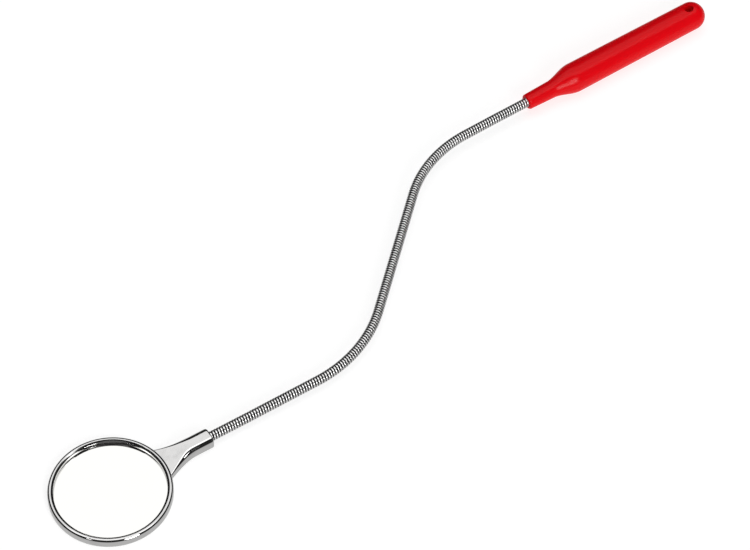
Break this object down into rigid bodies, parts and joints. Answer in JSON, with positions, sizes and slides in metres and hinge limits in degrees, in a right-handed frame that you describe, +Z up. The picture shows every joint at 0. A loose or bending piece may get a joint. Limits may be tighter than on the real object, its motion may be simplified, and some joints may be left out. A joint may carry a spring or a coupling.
{
  "type": "flexible inspection mirror",
  "caption": "Hand inspection mirror: a round mirror in a plated frame with a flared neck, on a bendable gooseneck arm with a moulded handle and a hanging hole.",
  "frame": {"origin": "middle of the lying part's outline seen from above, at the height of the table that it lies on", "axes": "+X from the mirror head towards the end of the handle, parallel to the handle's axis; +Z up, out of the table and out of the mirror's face; +Y to the left"},
  "size_m": [0.4478, 0.121, 0.0158],
  "materials": {
    "handle_plastic": "injection-moulded red plastic, semi-gloss",
    "head_chrome": "bright chromium plate on a zinc casting",
    "cover_steel": "plated sheet steel, light scuffs",
    "ferrule_steel": "crimped bare steel sleeve",
    "arm_wire": "bright nickel-plated steel wire, wound",
    "arm_core": "drawn steel wire, dull, oiled",
    "pad_foam": "double-sided closed-cell foam tape",
    "mirror_silver": "silvered float glass"
  },
  "bodies": {
    "handle": {"handle": "handle_plastic", "handle_ferrule": "ferrule_steel", "arm_winding_1": "arm_wire", "arm_coil_1": "arm_core"},
    "arm_2": {"arm_winding_2": "arm_wire", "arm_coil_2": "arm_core"},
    "arm_3": {"arm_winding_3": "arm_wire", "arm_coil_3": "arm_core"},
    "arm_4": {"arm_winding_4": "arm_wire", "arm_coil_4": "arm_core"},
    "arm_5": {"arm_winding_5": "arm_wire", "arm_coil_5": "arm_core"},
    "arm_6": {"arm_winding_6": "arm_wire", "arm_coil_6": "arm_core"},
    "arm_7": {"arm_winding_7": "arm_wire", "arm_coil_7": "arm_core"},
    "arm_8": {"arm_winding_8": "arm_wire", "arm_coil_8": "arm_core"},
    "arm_9": {"arm_winding_9": "arm_wire", "arm_coil_9": "arm_core"},
    "arm_10": {"arm_winding_10": "arm_wire", "arm_coil_10": "arm_core"},
    "arm_11": {"arm_winding_11": "arm_wire", "arm_coil_11": "arm_core"},
    "head": {"head_frame": "head_chrome", "back_cover": "cover_steel", "glass_pad": "pad_foam", "mirror_glass": "mirror_silver", "head_ferrule": "ferrule_steel", "arm_winding_12": "arm_wire", "arm_coil_12": "arm_core"}
  },
  "joints": [
    {"name": "bend_1_side", "type": "hinge", "parent": "handle", "child": "arm_2", "pos_m": [0.08991, 0.05257, 0.0079], "axis": [0, 0, 1], "range_deg": [-30, 30], "deforming": ["arm_coil_1", "arm_coil_2"]},
    {"name": "bend_2_lift", "type": "hinge", "parent": "arm_2", "child": "arm_3", "pos_m": [0.07041, 0.05257, 0.0076], "axis": [0, 1, 0], "range_deg": [-30, 30], "deforming": ["arm_coil_3"]},
    {"name": "bend_3_side", "type": "hinge", "parent": "arm_3", "child": "arm_4", "pos_m": [0.04686, 0.04816, 0.00723], "axis": [0, 0, 1], "range_deg": [-30, 30], "deforming": ["arm_coil_4"]},
    {"name": "bend_4_lift", "type": "hinge", "parent": "arm_4", "child": "arm_5", "pos_m": [0.0265, 0.0355, 0.00691], "axis": [-0.6756, 0.7373, 0], "range_deg": [-30, 30], "deforming": ["arm_coil_5"]},
    {"name": "bend_5_side", "type": "hinge", "parent": "arm_5", "child": "arm_6", "pos_m": [0.00807, 0.01861, 0.00662], "axis": [0, 0, 1], "range_deg": [-30, 30], "deforming": ["arm_coil_6"]},
    {"name": "bend_6_lift", "type": "hinge", "parent": "arm_6", "child": "arm_7", "pos_m": [-0.01036, 0.00172, 0.00633], "axis": [-0.6756, 0.7373, 0], "range_deg": [-30, 30], "deforming": ["arm_coil_7"]},
    {"name": "bend_7_side", "type": "hinge", "parent": "arm_7", "child": "arm_8", "pos_m": [-0.02879, -0.01517, 0.00604], "axis": [0, 0, 1], "range_deg": [-30, 30], "deforming": ["arm_coil_8"]},
    {"name": "bend_8_lift", "type": "hinge", "parent": "arm_8", "child": "arm_9", "pos_m": [-0.05124, -0.02893, 0.00569], "axis": [-0.3502, 0.9367, 0], "range_deg": [-30, 30], "deforming": ["arm_coil_9"]},
    {"name": "bend_9_side", "type": "hinge", "parent": "arm_9", "child": "arm_10", "pos_m": [-0.0772, -0.03327, 0.00529], "axis": [0, 0, 1], "range_deg": [-30, 30], "deforming": ["arm_coil_10"]},
    {"name": "bend_10_lift", "type": "hinge", "parent": "arm_10", "child": "arm_11", "pos_m": [-0.09753, -0.03274, 0.00497], "axis": [0.0262, 0.9997, 0], "range_deg": [-30, 30], "deforming": ["arm_coil_11"]},
    {"name": "bend_11_side", "type": "hinge", "parent": "arm_11", "child": "head", "pos_m": [-0.11785, -0.03221, 0.00465], "axis": [0, 0, 1], "range_deg": [-30, 30], "deforming": ["arm_coil_12"]}
  ]
}
